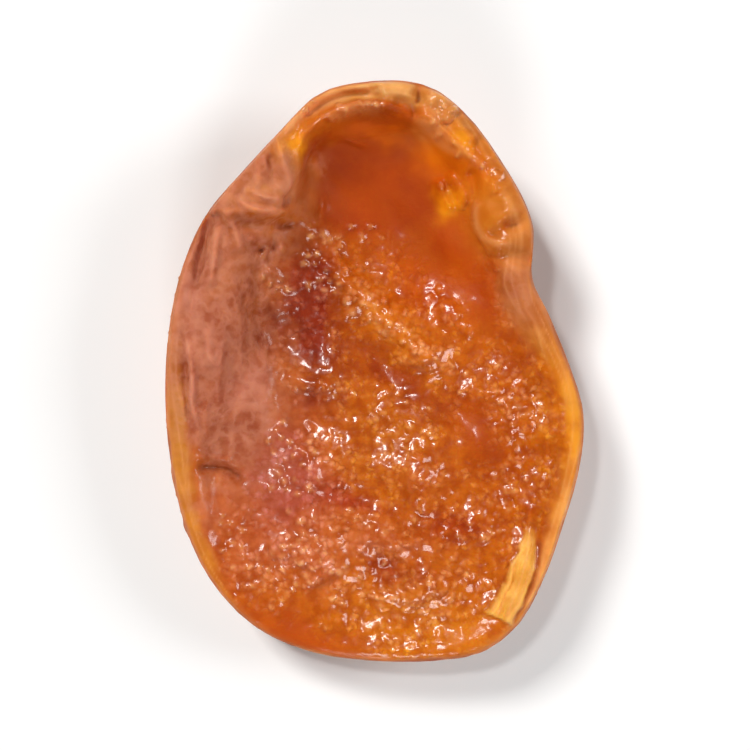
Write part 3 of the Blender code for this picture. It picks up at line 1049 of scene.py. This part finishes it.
        # Cream painted highlight on the tops of the moist beads, where their glints would be.
        marks[Mark.CREAM_PAINTED_HIGHLIGHT] = smoothstep(0.04, 0.20, moist)
        crumpled = 0.08 * ripple(self.places, 1.9, 5.0)
        self._push(grain * strength + glossy * crumpled + moist)

    def wrinkle_surfaces(self) -> None:
        """Fine wrinkles: threads along the rim, a net over the matte wall, and the skin's own."""
        marks = self.marks
        around = self._around(14, self.inset)
        threads = ridges(around, (0.16, 0.16, 1.9), 4.0)
        net = 0.6 * ridges(self.places, (1.0, 0.45, 0.7), 6.6) + 0.4 * ridges(self.places, 1.3, 2.9)
        skin_net = 0.6 * ridges(self.places, (0.9, 0.9, 0.5), 5.5) + 0.4 * ridges(self.places, 1.8, 1.3)
        clear = smoothstep(0.08, 0.7, self.places[:, 2]) * smoothstep(-0.05, -0.40, self.normals[:, 2])
        matte = np.clip(marks[Mark.MATTE] - marks[Mark.RIM], 0, 1)
        lift = self.thread_height * (threads - 0.3) * marks[Mark.RIM]
        lift += self.thread_height * (net - 0.4) * matte
        lift += self.skin_wrinkle_depth * (skin_net - 0.5) * marks[Mark.SKIN] * clear
        edge = np.exp(-(((self.inset - 0.22) / 0.20) ** 2)) * self._rim("pale") * self.face
        strands = ridges(flat(self.plan @ SLIVER_FRAME), 1.0, 2.4)
        pale = (0.5 + 0.5 * marks[Mark.SLIVER]) * (threads + marks[Mark.SLIVER] * (strands - threads)) ** 3
        pale = pale * marks[Mark.RIM] + 0.45 * net**3 * matte + 0.25 * skin_net**3 * marks[Mark.SKIN]
        # Pale threads, edges and streaks, with painted highlights along some ridges.
        pale_lines = total(PALE_AND_HIGHLIGHT_LINES, self.plan) * self.face
        marks[Mark.PALE_AND_HIGHLIGHT] = np.clip(np.maximum(pale, 0.8 * edge) + pale_lines, 0, 1)
        # Painted shade in the creases, grooves, gaps and pits.
        marks[Mark.PAINTED_SHADE] = np.clip(total(PAINTED_SHADE_LINES, self.plan) * self.face, 0, 1)
        self._push(lift)

    def _finished(self) -> bpy.types.Object:
        """Fits the sculpted mesh in the solid's box, in metres, and gives it its marks.

        Returns:
            The piece.
        """
        low, high = np.array(self.low) / MM, np.array(self.high) / MM
        floor = self.places[:, 2] < 0.02
        self.places[floor, 2] = 0.0
        self.places[:, 2] = np.maximum(self.places[:, 2], 0.0)
        lowest, highest = self.places.min(axis=0), self.places.max(axis=0)
        self.places = (low + (self.places - lowest) * (high - low) / (highest - lowest)) * MM
        self._write()
        for mark, share in self.marks.items():
            layer = self.blank.attributes.new(mark.value, "FLOAT", "POINT")
            layer.data.foreach_set("value", share.astype(np.float32))
        layer = self.blank.attributes.new(Mark.TONE.value, "FLOAT_COLOR", "POINT")
        layer.data.foreach_set("color", np.column_stack([self.tone, np.ones(len(self.tone))]).ravel())
        self.blank.shade_smooth()
        return placed("apricot_half", self.blank)


# The finishes and the material.


@dataclass(frozen=True)
class Finish:
    """How one kind of surface looks.

    Its deep and its light mottling multiply the tone. The mottle is its number of waves to a metre.
    """

    deep: Colour
    light: Colour
    roughness: float
    mottle: float


FLESH = Finish((0.78, 0.60, 0.30), (1.04, 1.06, 1.10), 0.36, 1100.0)
FINISHES = {
    Mark.CALM: Finish((0.88, 0.78, 0.5), (1.04, 1.08, 1.1), 0.55, 300.0),
    Mark.MATTE: Finish((0.78, 0.62, 0.56), (1.10, 1.20, 1.34), 0.56, 620.0),
    Mark.RIM: Finish((0.78, 0.66, 0.46), (0.98, 1.02, 1.10), 0.46, 620.0),
    Mark.SKIN: Finish((0.78, 0.68, 0.60), (1.14, 1.20, 1.26), 0.50, 500.0),
}


@dataclass
class NodeDesk:
    """A short way to lay out shader nodes."""

    tree: bpy.types.ShaderNodeTree

    def node(self, kind: str, **settings: object) -> bpy.types.Node:
        """Adds a node.

        Args:
            kind: The node's type, without its first word, ShaderNode.
            **settings: The node's options.

        Returns:
            The node.
        """
        made = self.tree.nodes.new(f"ShaderNode{kind}")
        for name, value in settings.items():
            setattr(made, name, value)
        return made

    def feed(self, source: Source, socket: Socket) -> None:
        """Links a socket to another, or sets it.

        Args:
            source: The socket to link from, or a number, a vector or a colour to set.
            socket: The socket to feed.
        """
        if isinstance(source, Socket):
            self.tree.links.new(source, socket)
        elif socket.type == "RGBA":
            socket.default_value = (*source, 1.0)
        else:
            socket.default_value = source

    def mark(self, mark: Mark, output: str = "Fac") -> Socket:
        """A share or a colour that the mesh holds."""
        return self.node("Attribute", attribute_name=mark.value).outputs[output]

    def math(self, operation: str, *values: Source) -> Socket:
        """Does one sum or the like.

        Args:
            operation: What to do with the values.
            *values: One or two numbers or sockets.

        Returns:
            The result.
        """
        made = self.node("Math", operation=operation)
        for value, socket in zip(values, made.inputs):
            self.feed(value, socket)
        return made.outputs[0]

    def times(self, *values: Source) -> Socket:
        """Multiplies two numbers."""
        return self.math("MULTIPLY", *values)

    def spread(self, value: Socket, low: float, high: float) -> Socket:
        """Stretches a value smoothly.

        Args:
            value: The value.
            low: What becomes 0.
            high: What becomes 1. It may lie below low.

        Returns:
            The stretched value, held between 0 and 1.
        """
        made = self.node("MapRange", interpolation_type="SMOOTHSTEP")
        self.feed(value, made.inputs["Value"])
        made.inputs["From Min"].default_value = low
        made.inputs["From Max"].default_value = high
        return made.outputs["Result"]

    def blend(self, share: Source, first: Source, second: Source, way: str = "MIX") -> Socket:
        """Mixes two colours.

        Args:
            share: How much of the second there is.
            first: The colour below.
            second: The colour laid over it.
            way: How it is laid over.

        Returns:
            The mixed colour.
        """
        made = self.node("Mix", data_type="RGBA", blend_type=way)
        self.feed(share, made.inputs[0])
        self.feed(first, made.inputs[6])
        self.feed(second, made.inputs[7])
        return made.outputs[2]

    def number(self, share: Source, first: Source, second: Source) -> Socket:
        """Mixes two numbers.

        Args:
            share: How much of the second there is.
            first: The first number.
            second: The second number.

        Returns:
            The mixed number.
        """
        made = self.node("Mix", data_type="FLOAT")
        self.feed(share, made.inputs[0])
        self.feed(first, made.inputs[2])
        self.feed(second, made.inputs[3])
        return made.outputs[0]

    def noise(self, where: Socket, waves: float, detail: float = 3.0) -> Socket:
        """Smooth noise.

        Args:
            where: The place on the half.
            waves: How many waves there are to a metre.
            detail: How many finer sizes are added.

        Returns:
            A number from 0 to 1.
        """
        made = self.node("TexNoise")
        self.feed(where, made.inputs["Vector"])
        made.inputs["Scale"].default_value = waves
        made.inputs["Detail"].default_value = detail
        return made.outputs["Fac"]

    def beads(self, where: Socket, waves: float) -> Socket:
        """Uneven beads that crowd together in patches, some of them lower than others.

        Args:
            where: The place on the half.
            waves: How many beads there are to a metre.

        Returns:
            0 between the beads and up to 1 on top of them.
        """
        warp = self.node("TexNoise")
        self.feed(where, warp.inputs["Vector"])
        warp.inputs["Scale"].default_value = waves
        bent = self.node("VectorMath", operation="MULTIPLY_ADD")
        self.feed(warp.outputs["Color"], bent.inputs[0])
        self.feed((1.1 / waves,) * 3, bent.inputs[1])
        self.feed(where, bent.inputs[2])
        made = self.node("TexVoronoi", voronoi_dimensions="2D")
        self.feed(bent.outputs[0], made.inputs["Vector"])
        made.inputs["Scale"].default_value = waves
        part = self.node("SeparateColor")
        self.feed(made.outputs["Color"], part.inputs[0])
        chance = self.spread(part.outputs[0], 0.0, 0.95)
        crowding = self.spread(self.noise(where, 0.3 * waves, 2.0), 0.30, 0.58)
        tops = self.spread(made.outputs["Distance"], 0.66, 0.02)
        return self.times(self.times(tops, chance), crowding)

    def threads(self, where: Socket, waves: float) -> Socket:
        """Thin wandering threads: 1 along them and 0 between them."""
        away = self.math("ABSOLUTE", self.math("SUBTRACT", self.noise(where, waves, 5.0), 0.5))
        return self.spread(away, 0.15, 0.0)


@dataclass(frozen=True)
class ApricotFinish:
    """The one material of the half, from wet flesh to matte skin.

    The scatter and the relief are in metres, and waves are counted to a metre. The tops and the gaps
    of the beads multiply the colour, as painted highlight on the tops and painted shade in the gaps;
    every other colour is laid over it.
    """

    translucence: float = 0.30
    scatter: float = 0.0016
    scatter_reach: Colour = (1.0, 0.36, 0.10)
    coat: float = 0.75
    coat_roughness: float = 0.16
    specular: float = 0.14
    patchiness: float = 0.10
    patch_waves: float = 700.0
    # Painted highlight on the beads' tops and painted shade in their gaps.
    bead_top_highlight: Colour = (1.25, 1.60, 2.8)
    bead_gap_shade: Colour = (0.80, 0.60, 0.28)
    bead_waves: float = 1950.0
    net_waves: float = 900.0
    lump_waves: float = 1500.0
    grain_waves: float = 3600.0
    speck_waves: float = 950.0
    relief: float = 0.00019
    crease_shade_share: float = 0.7
    thread_share: float = 0.55
    net_share: float = 0.30
    gap_shade_share: float = 0.60
    blush_highlight_share: float = 0.8
    speck_share: float = 0.7
    # The painted shade in the creases, grooves, gaps and pits.
    crease_shade: Colour = srgb(150, 56, 6)
    # The pale colour of the threads, edges and lines, some of them painted highlights.
    thread: Colour = srgb(242, 176, 108)
    matte_thread: Colour = srgb(222, 150, 122)
    net: Colour = srgb(206, 136, 108)
    # The pink painted highlight on the bead tops.
    blush_painted_highlight: Colour = srgb(238, 156, 116)
    # The cream painted highlight on the moist beads' tops.
    cream_painted_highlight: Colour = srgb(250, 188, 118)
    speck: Colour = srgb(96, 42, 18)

    def material(self) -> bpy.types.Material:
        """Makes the material.

        Returns:
            A material whose colour, roughness, coat and relief follow the marks on the mesh.
        """
        made = bpy.data.materials.new("dried_apricot")
        made.use_nodes = True
        desk = NodeDesk(made.node_tree)
        shader = made.node_tree.nodes["Principled BSDF"]
        where = desk.node("TexCoord").outputs["Object"]
        beads = desk.beads(where, self.bead_waves)
        net = desk.times(desk.threads(where, self.net_waves), desk.mark(Mark.MATTE))
        colour, roughness = self._mottled(desk, where)
        patchy = desk.times(desk.spread(desk.noise(where, self.patch_waves), 0.3, 0.7), self.patchiness)
        desk.feed(self._details(desk, where, beads, net, colour), shader.inputs["Base Color"])
        desk.feed(desk.math("ADD", roughness, patchy), shader.inputs["Roughness"])
        desk.feed(desk.times(desk.mark(Mark.WET), self.coat), shader.inputs["Coat Weight"])
        shader.inputs["Coat Roughness"].default_value = self.coat_roughness
        shader.inputs["Subsurface Weight"].default_value = self.translucence
        shader.inputs["Subsurface Radius"].default_value = self.scatter_reach
        shader.inputs["Subsurface Scale"].default_value = self.scatter
        shader.inputs["Specular IOR Level"].default_value = self.specular
        desk.feed(self._relief(desk, where, beads, net), shader.inputs["Normal"])
        return made

    def _mottled(self, desk: NodeDesk, where: Socket) -> tuple[Socket, Socket]:
        """Mottles the tone, in each kind of surface in its own way.

        Args:
            desk: Where the nodes are laid out.
            where: The place on the half.

        Returns:
            The colour and the roughness.
        """
        deep, light = FLESH.deep, FLESH.light
        share = self._mottle(desk, where, FLESH)
        roughness = FLESH.roughness
        for mark, finish in FINISHES.items():
            here = desk.mark(mark)
            deep = desk.blend(here, deep, finish.deep)
            light = desk.blend(here, light, finish.light)
            share = desk.number(here, share, self._mottle(desk, where, finish))
            roughness = desk.number(here, roughness, finish.roughness)
        mottling = desk.blend(share, deep, light)
        return desk.blend(1.0, desk.mark(Mark.TONE, "Color"), mottling, "MULTIPLY"), roughness

    @staticmethod
    def _mottle(desk: NodeDesk, where: Socket, finish: Finish) -> Socket:
        """The share of the light mottling."""
        return desk.spread(desk.noise(where, finish.mottle, 4.0), 0.34, 0.66)

    def _details(self, desk: NodeDesk, where: Socket, beads: Socket, net: Socket, colour: Socket) -> Socket:
        """Lays the details over the colour: painted shade in the creases and pits, pale threads and lines
        (some lines painted highlights), painted highlight and shade on the beads' tops and gaps, pink and
        cream painted highlights on the bead tops, and specks.

        Args:
            desk: Where the nodes are laid out.
            where: The place on the half.
            beads: The fine beads, from 0 to 1.
            net: The fine net on the matte flesh, from 0 to 1.
            colour: The mottled colour.

        Returns:
            The finished colour.
        """
        thread = desk.blend(desk.mark(Mark.MATTE), self.thread, self.matte_thread)
        # Painted shade in the creases, grooves, gaps and pits.
        colour = desk.blend(desk.times(desk.mark(Mark.PAINTED_SHADE), self.crease_shade_share), colour, self.crease_shade)
        # Pale threads, edges and lines, some of them painted highlights along ridges.
        colour = desk.blend(desk.times(desk.mark(Mark.PALE_AND_HIGHLIGHT), self.thread_share), colour, thread)
        colour = desk.blend(desk.times(net, self.net_share), colour, self.net)
        # Painted shade in the gaps between the beads and painted highlight on their tops.
        ground = desk.times(desk.mark(Mark.WET), desk.number(desk.mark(Mark.CALM), 1.0, 0.2))
        gaps = desk.times(desk.math("SUBTRACT", 1.0, beads), ground)
        colour = desk.blend(desk.times(gaps, self.gap_shade_share), colour, self.bead_gap_shade, "MULTIPLY")
        tops = desk.times(beads, ground)
        colour = desk.blend(tops, colour, self.bead_top_highlight, "MULTIPLY")
        # Pink painted highlight on the bead tops.
        blushed_highlight = desk.times(desk.times(tops, desk.mark(Mark.BEAD_TOP_HIGHLIGHT)), desk.mark(Mark.BLUSH_PAINTED_HIGHLIGHT))
        colour = desk.blend(desk.times(blushed_highlight, self.blush_highlight_share), colour, self.blush_painted_highlight)
        # Cream painted highlight on the tops of the moist beads.
        cream_painted_highlight = desk.times(desk.mark(Mark.CREAM_PAINTED_HIGHLIGHT), desk.number(beads, 0.22, 0.60))
        colour = desk.blend(cream_painted_highlight, colour, self.cream_painted_highlight)
        specks = desk.spread(desk.noise(where, self.speck_waves, 1.0), 0.74, 0.80)
        specks = desk.times(specks, desk.mark(Mark.SKIN))
        return desk.blend(desk.times(specks, self.speck_share), colour, self.speck)

    def _relief(self, desk: NodeDesk, where: Socket, beads: Socket, net: Socket) -> Socket:
        """Gives relief finer than the mesh: beads where it is wet, the net, and a faint grain all over.

        Args:
            desk: Where the nodes are laid out.
            where: The place on the half.
            beads: The fine beads, from 0 to 1.
            net: The fine net on the matte flesh, from 0 to 1.

        Returns:
            The bumped normal.
        """
        uneven = desk.times(desk.noise(where, self.lump_waves, 1.0), 0.45)
        lumps = desk.math("ADD", desk.times(beads, 0.55), uneven)
        grain = desk.times(desk.noise(where, self.grain_waves, 3.0), 0.15)
        fine = desk.math("ADD", grain, desk.times(net, 0.12))
        bump = desk.node("Bump")
        bump.inputs["Strength"].default_value = 1.0
        bump.inputs["Distance"].default_value = self.relief
        desk.feed(desk.math("ADD", desk.times(lumps, desk.mark(Mark.WET)), fine), bump.inputs["Height"])
        return bump.outputs["Normal"]


# The studio.


@dataclass(frozen=True)
class Softbox:
    """A square soft light, with its place and size in metres and its power in watts."""

    name: str
    place: tuple[float, float, float]
    size: float
    power: float
    tint: Colour = (1.0, 1.0, 1.0)

    def hang(self, target: Vector) -> None:
        """Adds the light.

        Args:
            target: The place that it points at.
        """
        lamp = bpy.data.lights.new(self.name, "AREA")
        lamp.shape = "SQUARE"
        lamp.size = self.size
        lamp.energy = self.power
        lamp.color = self.tint
        holder = placed(self.name, lamp)
        holder.location = self.place
        holder.rotation_mode = "QUATERNION"
        holder.rotation_quaternion = (target - Vector(self.place)).to_track_quat("-Z", "Y")


@dataclass
class Studio:
    """A plain pale floor, soft lights, and a camera that looks straight down."""

    low: Vector
    high: Vector
    lens: float = 90.0
    fill: float = 0.78
    floor_radius: float = 1.2
    paper: Colour = (0.86, 0.86, 0.86)
    horizon: Colour = (0.40, 0.40, 0.40)
    zenith: Colour = (0.03, 0.03, 0.03)
    softboxes: tuple[Softbox, ...] = (
        Softbox("key_light", (-0.30, 0.34, 0.50), 0.15, 3.1, (1.0, 0.98, 0.95)),
        Softbox("spark_light", (-0.16, 0.18, 0.60), 0.05, 0.9),
        Softbox("side_light", (0.55, 0.10, 0.40), 0.24, 2.0),
        Softbox("low_light", (-0.05, -0.60, 0.42), 0.24, 2.2),
    )

    def build(self) -> None:
        """Sets up everything round the half."""
        self._floor()
        target = (self.low + self.high) / 2
        for softbox in self.softboxes:
            softbox.hang(target)
        self._world()
        self._camera()
        view = bpy.context.scene.view_settings
        view.view_transform = "Standard"
        view.look = "None"

    def _floor(self) -> None:
        """A round floor of pale paper, level with the foot."""
        shape = bmesh.new()
        bmesh.ops.create_circle(shape, cap_ends=True, segments=96, radius=self.floor_radius)
        mesh = bpy.data.meshes.new("floor")
        shape.to_mesh(mesh)
        shape.free()
        paper = bpy.data.materials.new("pale_paper")
        paper.use_nodes = True
        shader = paper.node_tree.nodes["Principled BSDF"]
        shader.inputs["Base Color"].default_value = (*self.paper, 1.0)
        shader.inputs["Roughness"].default_value = 0.9
        shader.inputs["Specular IOR Level"].default_value = 0.1
        mesh.materials.append(paper)
        floor = placed("floor", mesh)
        floor.location.z = self.low.z
        floor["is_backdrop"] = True

    def _world(self) -> None:
        """A sky that is pale at the horizon and dim overhead, so that the wet flesh stays deep."""
        world = bpy.data.worlds.new("studio")
        world.use_nodes = True
        tree = world.node_tree
        desk = NodeDesk(tree)
        direction = desk.node("TexCoord").outputs["Generated"]
        split = desk.node("SeparateXYZ")
        desk.feed(direction, split.inputs[0])
        height = desk.spread(split.outputs["Z"], 0.10, 0.50)
        colour = desk.blend(height, self.horizon, self.zenith)
        desk.feed(colour, tree.nodes["Background"].inputs["Color"])
        bpy.context.scene.world = world

    def _camera(self) -> None:
        """A camera straight above the middle, with +Y up in the picture."""
        data = bpy.data.cameras.new("camera")
        data.lens = self.lens
        data.clip_start = 0.005
        data.clip_end = 5.0
        size = self.high - self.low
        middle = (self.low + self.high) / 2
        reach = size.y / self.fill * self.lens / data.sensor_width
        camera = placed("camera", data)
        camera.location = (middle.x, middle.y, self.low.z + 0.7 * size.z + reach)
        bpy.context.scene.camera = camera


def main() -> None:
    """Loads the frame, makes the half and its studio, and notes the sizes."""
    logging.basicConfig(level=logging.INFO, format="%(name)s: %(message)s")
    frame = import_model()
    low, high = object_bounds()
    LOG.info("frame loaded, box %s to %s", tuple(low), tuple(high))

    Studio(low, high).build()
    LOG.info("studio set up")

    blank = Blank(frame["nodes"][NODE]).mesh()
    LOG.info("blank made, %d faces", len(blank.polygons))

    half = DriedHalf(blank, low, high).make()
    half.data.materials.append(ApricotFinish().material())
    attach(half, BODY)
    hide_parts(NODE)
    LOG.info("%s sculpted, %d vertices", half.name, len(half.data.vertices))


if __name__ == "__main__":
    main()
